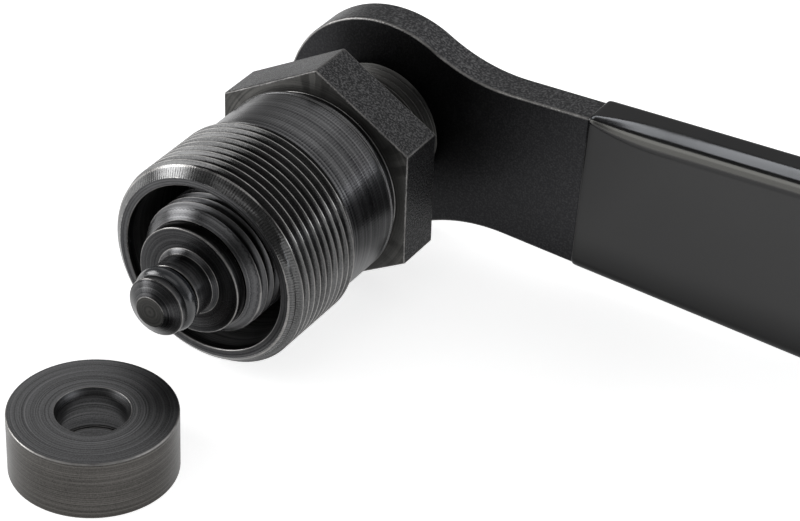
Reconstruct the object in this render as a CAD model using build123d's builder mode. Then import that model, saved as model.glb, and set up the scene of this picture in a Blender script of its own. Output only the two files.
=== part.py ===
from build123d import *
import os
from math import cos, radians

# A crank puller: a hex-headed body that screws into the crank, a threaded spindle that a flat lever
# turns, a tip that turns freely in the spindle's end, and an adapter ring that clips on the tip's nose.
# X runs along the lever, Y along the tool's axis with the nose towards -Y, and Z is up.
# The origin is on the axis where the full crank thread starts, behind the rim's chamfer.
# Threads are modelled as their major cylinders.

# Puller body, with its stations measured back from the start of the crank thread
crank_thread_radius = 11.0
rim_radius = 9.85
rim_chamfer_length = 0.9
crank_thread_length = 9.5
thread_runout = 0.5
shank_radius = 10.4
shank_end = 17.5
undercut_radius = 9.7
undercut_slope = 0.25
hex_front = 18.75
hex_across_flats = 22.0
hex_thickness = 5.4
hex_turn = 0.45
hex_edge_chamfer = 0.2
bore_radius = 9.0
bore_end = 10.1
bore_corner_chamfer = 0.8
screw_hole_chamfer = 0.6

# Spindle
screw_radius = 7.0
screw_clearance = 0.15
screw_front = -1.9
screw_front_radius = 5.85
tip_socket_depth = 10.0
tip_socket_point = 1.6
lever_face = 32.05
tenon_radius = 5.2
tenon_half_width = 4.2
tenon_clearance = 0.05
peened_head_radius = 6.4
peened_head_height = 1.0
peened_head_bevel = 0.6

# Swivel tip
tip_disc_radius = 5.75
tip_disc_thickness = 1.3
tip_disc_chamfer = 0.15
tip_thrust_gap = 0.1
tip_shank_radius = 3.0
tip_shank_length = 9.4
tip_shank_chamfer = 0.4
tip_running_clearance = 0.08
nose_radius = 3.1
nose_length = 6.35
nose_base_cone = 0.45
nose_cone_length = 1.0
nose_end_radius = 1.6

# Snap ring that keeps the tip in its socket
retainer_thickness = 0.8
retainer_bite = 0.4
retainer_back_from_disc = 5.5
retainer_opening = 35.0
retainer_clearance = 0.1

# O-ring on the nose, its round section drawn as a polygon to keep the facets few
o_ring_wire_radius = 0.89
o_ring_section_sides = 12
o_ring_inner_radius = 1.65
o_ring_back_from_end = 2.65
o_ring_clearance = 0.05

# Lever
bar_thickness = 3.85
eye_radius = 11.9
neck_station = 24.0
neck_half_width = 8.85
neck_blend_radius = 18.5
flare_station = 98.0
flare_half_width = 12.2
flare_blend_radius = 150.0
lever_length = 165.0
lever_end_corner = 9.0
bar_edge_chamfer = 0.25

# Dipped grip, its lip leaning back at the top as it came out of the dip
grip_start = 23.55
grip_lip_lean = 2.9
grip_wall = 0.48
grip_edge_radius = 1.3
grip_lip_bevel = 0.3
grip_seat_gap = 0.03

# Adapter ring, lying on the surface that the hex's lowest corner rests on
adapter_radius = 8.2
adapter_height = 6.4
adapter_bore_clearance = 0.25
adapter_mouth_chamfer = 0.35
adapter_edge_chamfer = 0.12
adapter_groove_depth = 0.3
adapter_groove_width = 1.9
adapter_place_x = -0.35
adapter_place_y = -18.45

# Places that follow from the sizes above
hex_half_width = hex_across_flats / 2
hex_corner_radius = hex_half_width / cos(radians(30))
floor_drop = hex_corner_radius * cos(radians(hex_turn))
hex_back = hex_front + hex_thickness
screw_hole_radius = screw_radius + screw_clearance
screw_chamfer_end = screw_front + screw_radius - screw_front_radius
tip_disc_back = screw_front - tip_thrust_gap
tip_disc_front = tip_disc_back - tip_disc_thickness
tip_socket_radius = tip_shank_radius + tip_running_clearance
tip_shank_end = tip_disc_back + tip_shank_length
nose_end = tip_disc_front - nose_length
nose_cone_base = nose_end + nose_cone_length
retainer_center = tip_disc_back + retainer_back_from_disc
retainer_ring_radius = (tip_shank_radius + tip_socket_radius) / 2
retainer_groove_depth = retainer_bite + retainer_clearance
retainer_groove_front = retainer_center - retainer_thickness / 2 - retainer_clearance
retainer_groove_back = retainer_center + retainer_thickness / 2 + retainer_clearance
o_ring_center = nose_end + o_ring_back_from_end
o_ring_radius = o_ring_inner_radius + o_ring_wire_radius
o_ring_groove_radius = o_ring_inner_radius - o_ring_clearance
o_ring_reach = o_ring_wire_radius + o_ring_clearance
adapter_bore_radius = nose_radius + adapter_bore_clearance
adapter_groove_radius = adapter_bore_radius + adapter_groove_depth
adapter_groove_middle = adapter_height - (tip_disc_front - o_ring_center)
adapter_groove_floor = adapter_groove_middle - adapter_groove_width / 2
adapter_groove_roof = adapter_groove_middle + adapter_groove_width / 2
adapter_axis = Axis((adapter_place_x, adapter_place_y, 0), (0, 0, 1))
adapter_plane = Plane(
    origin=(adapter_place_x, adapter_place_y, -floor_drop), x_dir=(1, 0, 0), z_dir=(0, -1, 0)
)


def cross_plane(station):
    """A plane square to the tool's axis at a station along it."""
    return Plane(origin=(0, station, 0), x_dir=(1, 0, 0), z_dir=(0, 1, 0))


def double_d(margin):
    """Draw the tenon's section, a round with two flats, grown by a margin."""
    Circle(tenon_radius + margin)
    flats_apart = 2 * (tenon_half_width + margin)
    Rectangle(flats_apart, 2 * (tenon_radius + margin), mode=Mode.INTERSECT)


def lever_outline(margin):
    """The lever's outline, a round eye that flows into a flaring bar, grown by a margin."""
    flare_rate = (flare_half_width - neck_half_width) / (flare_station - neck_station)
    root_half_width = neck_half_width - flare_rate * neck_station
    with BuildSketch() as outline:
        with BuildLine():
            Polyline(
                (0, root_half_width),
                (flare_station, flare_half_width),
                (lever_length, flare_half_width),
                (lever_length, -flare_half_width),
                (flare_station, -flare_half_width),
                (0, -root_half_width),
                close=True,
            )
        make_face()
        Circle(eye_radius)
        fillet(outline.vertices().group_by(Axis.X)[-1], lever_end_corner)
        fillet(outline.vertices().group_by(Axis.X)[1], flare_blend_radius)
        fillet(outline.vertices().group_by(Axis.X)[0], neck_blend_radius)
        offset(amount=margin)
    return outline.sketch


# Puller body: a hexagon that rests on a corner, a turned barrel and the bores through both
with BuildPart() as puller_body:
    with BuildSketch(cross_plane(hex_front)):
        RegularPolygon(hex_half_width, 6, major_radius=False, rotation=30 - hex_turn)
    extrude(amount=hex_thickness)
    chamfer(puller_body.faces().filter_by(Axis.Y).edges(), hex_edge_chamfer)
    with BuildSketch(Plane.XY):
        with BuildLine():
            Polyline(
                (0, -rim_chamfer_length),
                (rim_radius, -rim_chamfer_length),
                (crank_thread_radius, 0),
                (crank_thread_radius, crank_thread_length),
                (shank_radius, crank_thread_length + thread_runout),
                (shank_radius, shank_end),
                (undercut_radius, shank_end + undercut_slope),
                (undercut_radius, hex_back),
                (0, hex_back),
                close=True,
            )
        make_face()
    revolve(axis=Axis.Y)
    with BuildSketch(Plane.XY):
        with BuildLine():
            Polyline(
                (0, -rim_chamfer_length),
                (bore_radius, -rim_chamfer_length),
                (bore_radius, bore_end - bore_corner_chamfer),
                (bore_radius - bore_corner_chamfer, bore_end),
                (screw_hole_radius, bore_end),
                (screw_hole_radius, hex_back - screw_hole_chamfer),
                (screw_hole_radius + screw_hole_chamfer, hex_back),
                (0, hex_back),
                close=True,
            )
        make_face()
    revolve(axis=Axis.Y, mode=Mode.SUBTRACT)

# Spindle: the screw with the tip's socket in front, and a flatted tenon peened over behind the lever
with BuildPart() as spindle:
    with BuildSketch(Plane.XY):
        with BuildLine():
            Polyline(
                (tip_socket_radius, screw_front),
                (screw_front_radius, screw_front),
                (screw_radius, screw_chamfer_end),
                (screw_radius, lever_face),
                (0, lever_face),
                (0, screw_front + tip_socket_depth + tip_socket_point),
                (tip_socket_radius, screw_front + tip_socket_depth),
                (tip_socket_radius, retainer_groove_back),
                (retainer_ring_radius + retainer_groove_depth, retainer_groove_back),
                (retainer_ring_radius + retainer_groove_depth, retainer_groove_front),
                (tip_socket_radius, retainer_groove_front),
                close=True,
            )
        make_face()
    revolve(axis=Axis.Y)
    with BuildSketch(cross_plane(lever_face)):
        double_d(0)
    extrude(amount=bar_thickness)
    with BuildSketch(cross_plane(lever_face + bar_thickness)):
        Circle(peened_head_radius)
    extrude(amount=peened_head_height)
    chamfer(spindle.faces().sort_by(Axis.Y)[-1].edges(), peened_head_bevel)

# Swivel tip: nose with its O-ring groove, pressing disc, and shank with its retaining groove
with BuildPart() as swivel_tip:
    with BuildSketch(Plane.XY):
        with BuildLine():
            Polyline(
                (0, nose_end),
                (nose_end_radius, nose_end),
                (nose_radius, nose_cone_base),
                (nose_radius, o_ring_center - o_ring_reach),
                (o_ring_groove_radius, o_ring_center - o_ring_reach),
                (o_ring_groove_radius, o_ring_center + o_ring_reach),
                (nose_radius, o_ring_center + o_ring_reach),
                (nose_radius, tip_disc_front - nose_base_cone),
                (nose_radius + nose_base_cone, tip_disc_front),
                (tip_disc_radius - tip_disc_chamfer, tip_disc_front),
                (tip_disc_radius, tip_disc_front + tip_disc_chamfer),
                (tip_disc_radius, tip_disc_back),
                (tip_shank_radius, tip_disc_back),
                (tip_shank_radius, retainer_groove_front),
                (retainer_ring_radius - retainer_groove_depth, retainer_groove_front),
                (retainer_ring_radius - retainer_groove_depth, retainer_groove_back),
                (tip_shank_radius, retainer_groove_back),
                (tip_shank_radius, tip_shank_end - tip_shank_chamfer),
                (tip_shank_radius - tip_shank_chamfer, tip_shank_end),
                (0, tip_shank_end),
                close=True,
            )
        make_face()
    revolve(axis=Axis.Y)

# Retaining ring: a flat snap ring, open at one side so that it can be sprung in
with BuildPart() as tip_retaining_ring:
    with BuildSketch(Plane.XY):
        with Locations((retainer_ring_radius, retainer_center)):
            Rectangle(2 * retainer_bite, retainer_thickness)
    revolve(axis=Axis.Y, revolution_arc=360 - retainer_opening)

# O-ring on the nose
with BuildPart() as nose_o_ring:
    with BuildSketch(Plane.XY):
        with Locations((o_ring_radius, o_ring_center)):
            RegularPolygon(o_ring_wire_radius, o_ring_section_sides)
    revolve(axis=Axis.Y)

# Lever: flat bar with a round eye and a flatted hole for the tenon
with BuildPart() as lever_bar:
    with BuildSketch(cross_plane(lever_face)):
        add(lever_outline(0))
    extrude(amount=bar_thickness)
    chamfer(lever_bar.faces().filter_by(Axis.Y).edges(), bar_edge_chamfer)
    with BuildSketch(cross_plane(lever_face)):
        double_d(tenon_clearance)
    extrude(amount=bar_thickness, mode=Mode.SUBTRACT)

# Grip: a dipped coat that starts past the neck and closes over the lever's end
with BuildPart() as lever_grip:
    with BuildSketch(cross_plane(lever_face - grip_wall)):
        add(lever_outline(grip_wall))
        with Locations((grip_start, 0)):
            Rectangle(
                lever_length,
                lever_length,
                rotation=grip_lip_lean,
                align=(Align.MIN, Align.CENTER),
                mode=Mode.INTERSECT,
            )
    extrude(amount=bar_thickness + 2 * grip_wall)
    start_face = lever_grip.faces().sort_by(Axis.X)[0]
    side_edges = lever_grip.faces().filter_by(Axis.Y).edges() - start_face.edges()
    fillet(side_edges, grip_edge_radius)
    chamfer(lever_grip.faces().sort_by(Axis.X)[0].edges(), grip_lip_bevel)
    with BuildSketch(cross_plane(lever_face - grip_seat_gap)):
        add(lever_outline(grip_seat_gap))
    extrude(amount=bar_thickness + 2 * grip_seat_gap, mode=Mode.SUBTRACT)

# Adapter ring: its bore takes the nose, and the groove inside takes the O-ring
with BuildPart() as adapter_ring:
    with BuildSketch(adapter_plane):
        with BuildLine():
            Polyline(
                (adapter_bore_radius + adapter_mouth_chamfer, 0),
                (adapter_radius - adapter_edge_chamfer, 0),
                (adapter_radius, adapter_edge_chamfer),
                (adapter_radius, adapter_height - adapter_edge_chamfer),
                (adapter_radius - adapter_edge_chamfer, adapter_height),
                (adapter_bore_radius + adapter_mouth_chamfer, adapter_height),
                (adapter_bore_radius, adapter_height - adapter_mouth_chamfer),
                (adapter_bore_radius, adapter_groove_roof),
                (adapter_groove_radius, adapter_groove_roof),
                (adapter_groove_radius, adapter_groove_floor),
                (adapter_bore_radius, adapter_groove_floor),
                (adapter_bore_radius, adapter_mouth_chamfer),
                close=True,
            )
        make_face()
    revolve(axis=adapter_axis)

puller_body.part.label = "puller_body"
spindle.part.label = "spindle"
swivel_tip.part.label = "swivel_tip"
tip_retaining_ring.part.label = "tip_retaining_ring"
nose_o_ring.part.label = "nose_o_ring"
lever_bar.part.label = "lever_bar"
lever_grip.part.label = "lever_grip"
adapter_ring.part.label = "adapter_ring"

os.makedirs("parts", exist_ok=True)
export_step(puller_body.part, "parts/puller_body.step")
export_step(spindle.part, "parts/spindle.step")
export_step(swivel_tip.part, "parts/swivel_tip.step")
export_step(tip_retaining_ring.part, "parts/tip_retaining_ring.step")
export_step(nose_o_ring.part, "parts/nose_o_ring.step")
export_step(lever_bar.part, "parts/lever_bar.step")
export_step(lever_grip.part, "parts/lever_grip.step")
export_step(adapter_ring.part, "parts/adapter_ring.step")
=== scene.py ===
# %% [markdown]
# A crank puller, dressed piece by piece.
# The tool is a hex-headed body that screws into a bicycle's crank, a threaded spindle that a flat
# lever turns, a tip that turns freely in the spindle's end, and a small adapter ring that lies in
# front of it. Its solids come from a CAD model at their real size. They are loaded here as a fixed
# frame, and every piece below takes the place of one solid, in the same spot, with the fine forms
# that the solid leaves out.

# %% Load the solids
from collections import namedtuple
from math import acos, atan2, cos, pi, radians, sin, sqrt, tan

import bmesh
import bpy
import numpy as np
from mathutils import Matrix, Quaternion, Vector


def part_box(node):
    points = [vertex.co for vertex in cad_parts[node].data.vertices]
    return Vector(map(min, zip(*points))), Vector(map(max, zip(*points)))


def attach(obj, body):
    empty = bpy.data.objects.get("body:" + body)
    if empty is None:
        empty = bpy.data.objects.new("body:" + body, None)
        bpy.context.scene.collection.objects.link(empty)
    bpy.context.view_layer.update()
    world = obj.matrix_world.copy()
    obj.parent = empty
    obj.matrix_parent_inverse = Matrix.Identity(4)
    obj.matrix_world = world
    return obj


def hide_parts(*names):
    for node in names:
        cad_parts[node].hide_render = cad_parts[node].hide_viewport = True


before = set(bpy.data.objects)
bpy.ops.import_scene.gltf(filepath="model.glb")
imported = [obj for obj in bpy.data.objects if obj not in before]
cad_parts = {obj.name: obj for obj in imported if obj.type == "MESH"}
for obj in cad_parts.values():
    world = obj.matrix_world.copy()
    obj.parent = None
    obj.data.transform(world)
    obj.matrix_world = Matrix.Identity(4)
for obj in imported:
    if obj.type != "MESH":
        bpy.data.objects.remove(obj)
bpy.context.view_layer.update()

MM = 0.001
print("solids:", ", ".join(sorted(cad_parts)))

# %% [markdown]
# Places along the axis.
# The tool's axis runs along Y, with the nose towards -Y, and the lever along X. The lengths below
# are in millimetres. Where a solid's box already holds a length, it is read from there, so that
# the finished piece can't drift away from its solid. The rest are the diameters and steps that a
# box doesn't show.


# %% Read the main stations from the solids
def box_mm(node):
    """Lowest and highest corner of a solid, in millimetres."""
    low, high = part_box(node)
    return low / MM, high / MM


body_low, body_high = box_mm("puller_body")
spindle_low, spindle_high = box_mm("spindle")
tip_low, tip_high = box_mm("swivel_tip")
ring_low, ring_high = box_mm("adapter_ring")
bar_low, bar_high = box_mm("lever_bar")
grip_low, grip_high = box_mm("lever_grip")
floor_level = min(body_low.z, grip_low.z, ring_low.z)
print(f"body from {body_low.y:.2f} to {body_high.y:.2f} mm, floor at {floor_level:.2f} mm")

# %% [markdown]
# A lathe.
# Most of this tool was turned, so most of it can be made by one helper that does what a lathe
# does: it takes a profile of radius against station, rounds its corners, and spins it. Blender has
# a Screw modifier and a Spin operator for that. Rows and columns of points listed in the code are
# chosen here, because a row can then also be a hexagon or follow a thread's helix, and each point
# can carry how it was cut and how it was worn. The arcs at the corners matter most for the look: a
# sharp corner catches no light, a rounded one does.

# %% Round the corners of a profile
Row = namedtuple("Row", "radius station edge lead finish hatch", defaults=(0.0, 0, 0, 0.0))


def round_corners(corners, closed=False, steps=4, finish=0):
    """Rows for a profile of (radius, station, rounding) corners, with an arc at each rounding.

    A row's edge is 1 in the middle of an arc and 0 on the straight stretches.
    """
    rows = []
    last = len(corners) - 1
    for index, (radius, station, rounding) in enumerate(corners):
        at_end = not closed and index in (0, last)
        if rounding == 0 or at_end:
            rows.append(Row(radius, station, finish=finish))
            continue
        here = np.array((radius, station))
        back = np.array(corners[index - 1][:2]) - here
        on = np.array(corners[(index + 1) % len(corners)][:2]) - here
        back = back / np.linalg.norm(back)
        on = on / np.linalg.norm(on)
        half_angle = acos(np.clip(back @ on, -1, 1)) / 2
        cut = rounding / tan(half_angle)
        middle = here + (back + on) / np.linalg.norm(back + on) * rounding / sin(half_angle)
        first_spoke = here + back * cut - middle
        last_spoke = here + on * cut - middle
        sweep = pi - 2 * half_angle
        for step in range(steps + 1):
            share = step / steps
            turned = first_spoke * sin((1 - share) * sweep) + last_spoke * sin(share * sweep)
            spoke = turned / sin(sweep)
            rows.append(Row(*(middle + spoke), edge=sin(share * pi), finish=finish))
    return rows


square = round_corners([(0, 0, 0), (5, 0, 0.2), (5, 5, 0)])
print("a square corner becomes", len(square), "rows")


# %% Faces between rows
def lathe_faces(rows, count, closed):
    """Faces between neighbouring rows of count points, and the finish of each face.

    A row that follows a helix is joined, at the seam, to the row that started its turn there: lead
    rows back.
    """
    helix_rows = [index for index, row in enumerate(rows) if row.lead]
    across_seam = list(range(len(rows)))
    for index in helix_rows:
        across_seam[index] = max(index - rows[index].lead, helix_rows[0])
    faces = []
    finishes = []
    for lower in range(len(rows) if closed else len(rows) - 1):
        upper = (lower + 1) % len(rows)
        for column in range(count):
            at_seam = column == count - 1
            over = 0 if at_seam else column + 1
            low_over = across_seam[lower] if at_seam else lower
            up_over = across_seam[upper] if at_seam else upper
            corners = (lower, column), (low_over, over), (up_over, over), (upper, column)
            faces.append([row * count + spot for row, spot in corners])
            finishes.append(rows[upper].finish)
    return faces, finishes


print("three rows of four points:", len(lathe_faces([Row(1, 0)] * 3, 4, False)[0]), "faces")

# %% Spin rows into a closed mesh
FACING_SHARE = 0.9
WELD_DISTANCE = 0.0005 * MM


def weld(mesh):
    """Merge points that fall together, so that the mesh is closed, and turn its faces outwards."""
    work = bmesh.new()
    work.from_mesh(mesh)
    bmesh.ops.remove_doubles(work, verts=work.verts, dist=WELD_DISTANCE)
    bmesh.ops.recalc_face_normals(work, faces=work.faces)
    work.to_mesh(mesh)
    work.free()


def lathe(name, rows, columns, place, closed=False):
    """Spin rows around an axis. place turns across, up and station into points in millimetres."""
    count = len(columns)
    fields = {}
    for field in ("radius", "station", "edge", "hatch"):
        values = [np.broadcast_to(getattr(row, field), count) for row in rows]
        fields[field] = np.array(values, float)
    radius = fields["radius"]
    station = fields["station"]
    across = np.broadcast_to(np.cos(columns), radius.shape)
    up = np.broadcast_to(np.sin(columns), radius.shape)
    helical = np.array([row.lead > 0 for row in rows])[:, None]
    along = station + FACING_SHARE * np.where(helical, radius.max(), radius)
    points = place(radius * across, radius * up, station)
    faces, finishes = lathe_faces(rows, count, closed)
    mesh = bpy.data.meshes.new(name)
    mesh.from_pydata(points.reshape(-1, 3) * MM, [], faces)
    mesh.polygons.foreach_set("material_index", finishes)
    turning = mesh.attributes.new("turning", "FLOAT_VECTOR", "POINT")
    turning.data.foreach_set("vector", np.stack([across, up, along], axis=-1).ravel())
    for field in ("edge", "hatch"):
        layer = mesh.attributes.new(field, "FLOAT", "POINT")
        layer.data.foreach_set("value", fields[field].ravel())
    weld(mesh)
    return mesh


def along_tool(across, up, station):
    """Points around the tool's own axis."""
    return np.stack([across, station, up], axis=-1)


def even_columns(count):
    """Angles at even steps around an axis."""
    return np.arange(count) * 2 * pi / count


print("a quarter turn is", round(even_columns(4)[1], 3), "radians")

# %% [markdown]
# Putting a piece in its place.
# A piece has to ride on the body that it moves with and take the place of its solid. Smooth
# shading with marked sharp edges and area-weighted normals keeps a flat face flat right up to its
# rounded edge, which is what makes machined steel read as machined.

# %% A helper that seats a finished mesh
SHARP_ANGLE = radians(33)


def seat(mesh, node, body, slot, *finishes):
    """Make an object that stands for a CAD node, rides on its body and wears the materials."""
    piece = bpy.data.objects.new(node + "_finished", mesh)
    bpy.context.scene.collection.objects.link(piece)
    for finish in finishes:
        mesh.materials.append(finish)
    mesh.polygons.foreach_set("use_smooth", [True] * len(mesh.polygons))
    mesh.set_sharp_from_angle(angle=SHARP_ANGLE)
    normals = piece.modifiers.new("flat faces stay flat", "WEIGHTED_NORMAL")
    normals.keep_sharp = True
    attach(piece, body)
    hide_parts(node)
    faces = sum(len(face.vertices) - 2 for face in mesh.polygons)
    print(f"{piece.name}: {faces} triangles, rides on {body}")
    return piece


# %% [markdown]
# Shader helpers.
# Every finish here is a small tree of nodes. One helper adds a node and links it, a few others put
# out a sum, a stretch or a tint, and one makes a node group with named sockets, so that a tree can
# be read as a short list. Groups hold what several finishes share.


# %% Helpers for node trees
def add(tree, kind, inputs=None, **options):
    """Add a node, set its options, and fill its inputs with values or with other nodes' outputs."""
    made = tree.nodes.new(kind)
    for option, value in options.items():
        setattr(made, option, value)
    for name, value in (inputs or {}).items():
        if isinstance(value, bpy.types.NodeSocket):
            tree.links.new(value, made.inputs[name])
        else:
            made.inputs[name].default_value = value
    return made


def calc(tree, operation, first, second=0.0):
    """The output of a Math node."""
    return add(tree, "ShaderNodeMath", {0: first, 1: second}, operation=operation).outputs[0]


def spread(tree, value, low, high, to_low=0.0, to_high=1.0):
    """The output of a Map Range node that stretches low..high to to_low..to_high."""
    ends = {"Value": value, "From Min": low, "From Max": high, "To Min": to_low, "To Max": to_high}
    return add(tree, "ShaderNodeMapRange", ends).outputs["Result"]


def blend(tree, *shares):
    """The sum of outputs, each times its share."""
    total = 0.0
    for value, share in shares:
        total = calc(tree, "ADD", total, calc(tree, "MULTIPLY", value, share))
    return total


def tint(tree, share, dark, light):
    """The colour between dark and light at a share."""
    mix = add(tree, "ShaderNodeMix", {"Factor": share}, data_type="RGBA")
    for socket, value in ((mix.inputs[6], dark), (mix.inputs[7], light)):
        if isinstance(value, bpy.types.NodeSocket):
            tree.links.new(value, socket)
        else:
            socket.default_value = (*value, 1)
    return mix.outputs[2]


def noise(tree, vector, scale, detail):
    """The output of a Noise Texture node."""
    inputs = {"Vector": vector, "Scale": scale, "Detail": detail}
    return add(tree, "ShaderNodeTexNoise", inputs).outputs["Fac"]


def stored(tree, attribute, output="Fac"):
    """What the mesh stores at each point under an attribute's name."""
    return add(tree, "ShaderNodeAttribute", attribute_name=attribute).outputs[output]


def split(tree, vector):
    """The X, Y and Z outputs of a vector."""
    return add(tree, "ShaderNodeSeparateXYZ", {"Vector": vector}).outputs


def coordinates(tree, kind="Object"):
    """Where a point lies, on the piece itself or in the room."""
    return add(tree, "ShaderNodeTexCoord").outputs[kind]


def bumped(tree, height, strength, distance_mm):
    """The normal of a bump of a given depth."""
    ends = {"Height": height, "Strength": strength, "Distance": distance_mm * MM}
    return add(tree, "ShaderNodeBump", ends).outputs["Normal"]


# %% Helpers for groups and materials
def new_group(name, inputs, outputs):
    """An empty shader group with named float inputs and outputs, and its two end nodes."""
    tree = bpy.data.node_groups.new(name, "ShaderNodeTree")
    for label, value in inputs.items():
        socket = tree.interface.new_socket(label, in_out="INPUT", socket_type="NodeSocketFloat")
        socket.default_value = value
    for label in outputs:
        tree.interface.new_socket(label, in_out="OUTPUT", socket_type="NodeSocketFloat")
    return tree, add(tree, "NodeGroupInput").outputs, add(tree, "NodeGroupOutput").inputs


def use_group(tree, group, **values):
    """Place a group in a material, with underscores in the names standing for spaces."""
    made = add(tree, "ShaderNodeGroup", node_tree=group)
    for name, value in values.items():
        made.inputs[name.replace("_", " ")].default_value = value
    return made.outputs


def new_finish(name):
    """A fresh material: its tree and its Principled shader's inputs."""
    material = bpy.data.materials.new(name)
    material.use_nodes = True
    tree = material.node_tree
    shader = next(node for node in tree.nodes if node.type == "BSDF_PRINCIPLED")
    return material, tree, shader.inputs


# %% [markdown]
# Turned lines and chatter marks.
# A lathe tool leaves fine rings around a piece. An image texture would need an unwrapped mesh.
# Instead the lathe helper stored, in the attribute called turning, the angle around the axis and
# the distance along the profile, and a noise that is stretched along the angle turns them into
# rings that waver a little, as real ones do. Where the tool shook, it left short marks across the
# rings. They are a wave around the axis, broken up by noise, where the attribute called hatch asks
# for it.

# %% Group: turned lines
ROUND_SHARE = 0.22
# Output, lines against the given rate, detail, and the noise that counts as none and as full
LINE_KINDS = (
    ("Height", 1.0, 3.0, 0.3, 0.7),
    ("Streak", 0.8, 2.0, 0.36, 0.64),
    ("Scratch", 0.55, 1.0, 0.62, 0.72),
)
labels = [kind[0] for kind in LINE_KINDS]
turned_lines, given, result = new_group("turned lines", {"Lines per mm": 6.0}, labels)
parts = split(turned_lines, stored(turned_lines, "turning", "Vector"))
for label, rate, detail, low, high in LINE_KINDS:
    lines = calc(turned_lines, "MULTIPLY", parts["Z"], given["Lines per mm"])
    ringed = {
        "X": calc(turned_lines, "MULTIPLY", parts["X"], ROUND_SHARE),
        "Y": calc(turned_lines, "MULTIPLY", parts["Y"], ROUND_SHARE),
        "Z": calc(turned_lines, "MULTIPLY", lines, rate),
    }
    vector = add(turned_lines, "ShaderNodeCombineXYZ", ringed).outputs["Vector"]
    cut = noise(turned_lines, vector, 1.0, detail)
    turned_lines.links.new(spread(turned_lines, cut, low, high), result[label])
print("group:", turned_lines.name)

# %% Group: chatter marks
CHATTER_PER_MM = 2.0
chatter_marks, given, result = new_group("chatter marks", {"Marks around": 220.0}, ["Height"])
parts = split(chatter_marks, stored(chatter_marks, "turning", "Vector"))
angle = calc(chatter_marks, "ARCTAN2", parts["Y"], parts["X"])
wave = calc(chatter_marks, "SINE", calc(chatter_marks, "MULTIPLY", angle, given["Marks around"]))
broken = noise(chatter_marks, coordinates(chatter_marks), CHATTER_PER_MM / MM, 2.0)
uneven = calc(chatter_marks, "MULTIPLY", wave, spread(chatter_marks, broken, 0.35, 0.65))
marked = calc(chatter_marks, "MULTIPLY", uneven, stored(chatter_marks, "hatch"))
chatter_marks.links.new(marked, result["Height"])
print("group:", chatter_marks.name)

# %% [markdown]
# Oxide clouds, blasted grain and worn edges.
# Black oxide is never quite even: oil and handling leave soft clouds in it. The hexagon was
# blasted, which leaves a grain like fine sand. Edges that rub against other things lose their
# black first and show grey steel. The three effects are groups, because the body, the spindle, the
# lever and the ring all use them at other strengths.

# %% Group: oxide clouds
oxide_clouds, given, result = new_group("oxide clouds", {"Clouds per mm": 0.12}, ["Cloud"])
scale = calc(oxide_clouds, "DIVIDE", given["Clouds per mm"], MM)
drift = noise(oxide_clouds, coordinates(oxide_clouds), scale, 4.0)
oxide_clouds.links.new(spread(oxide_clouds, drift, 0.3, 0.7), result["Cloud"])
print("group:", oxide_clouds.name)

# %% Group: blasted grain
outputs = ["Height", "Fleck"]
blasted_grain, given, result = new_group("blasted grain", {"Grains per mm": 2.6}, outputs)
scale = calc(blasted_grain, "DIVIDE", given["Grains per mm"], MM)
sand = noise(blasted_grain, coordinates(blasted_grain), scale, 2.0)
blasted_grain.links.new(spread(blasted_grain, sand, 0.25, 0.75), result["Height"])
blasted_grain.links.new(spread(blasted_grain, sand, 0.45, 0.68), result["Fleck"])
print("group:", blasted_grain.name)

# %% Group: worn edges
inputs = {"Patches per mm": 0.5, "Wear": 0.7}
worn_edges, given, result = new_group("worn edges", inputs, ["Bare"])
scale = calc(worn_edges, "DIVIDE", given["Patches per mm"], MM)
patches = noise(worn_edges, coordinates(worn_edges), scale, 3.0)
patch = spread(worn_edges, patches, 0.25, 0.65, 0.35, 1.0)
rubbed = calc(worn_edges, "MULTIPLY", stored(worn_edges, "edge"), patch)
worn_edges.links.new(calc(worn_edges, "MULTIPLY", rubbed, given["Wear"]), result["Bare"])
print("group:", worn_edges.name)

# %% [markdown]
# Turned steel.
# Black oxide on turned steel behaves like a dark metal: what it shows is mostly a dim reflection
# of its surroundings. So it is a metallic shader with a dark base, and its rings bend that
# reflection. One image of scratched metal could be laid over everything, but then the thread, the
# nose and the ring would look alike. One function that mixes the groups gives each of them its own
# cut: the thread is grainy and glossy, and the faced ends are dull. The bore's wall is painted
# lighter than its black oxide, which is painted light in a recess that would come out black.

# %% Finish: turned black steel
BARE_STEEL = (0.34, 0.33, 0.32)


def turned_finish(
    name, dark, light, roughness, lines_per_mm, depth_mm, wear, streaks=0.6, grains=0.25
):
    """Black oxide over turned rings, with edges worn towards bare steel."""
    material, tree, shader = new_finish(name)
    rings = use_group(tree, turned_lines, Lines_per_mm=lines_per_mm)
    cloud = use_group(tree, oxide_clouds, Clouds_per_mm=0.16)["Cloud"]
    bare = use_group(tree, worn_edges, Wear=wear, Patches_per_mm=1.2)["Bare"]
    grain = use_group(tree, blasted_grain, Grains_per_mm=7.0)["Height"]
    marks = use_group(tree, chatter_marks)["Height"]
    cut = ((rings["Streak"], streaks), (rings["Scratch"], 0.5))
    shade = blend(tree, *cut, (cloud, 0.15), (grain, grains), (marks, 0.6))
    oxide = tint(tree, shade, dark, light)
    gloss = spread(tree, cloud, 0, 1, roughness - 0.05, roughness + 0.06)
    relief = blend(tree, (rings["Height"], 1.0), (marks, 0.8), (grain, 0.5))
    tree.links.new(tint(tree, bare, oxide, BARE_STEEL), shader["Base Color"])
    tree.links.new(gloss, shader["Roughness"])
    tree.links.new(bumped(tree, relief, 0.6, depth_mm), shader["Normal"])
    shader["Metallic"].default_value = 1.0
    return material


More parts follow.
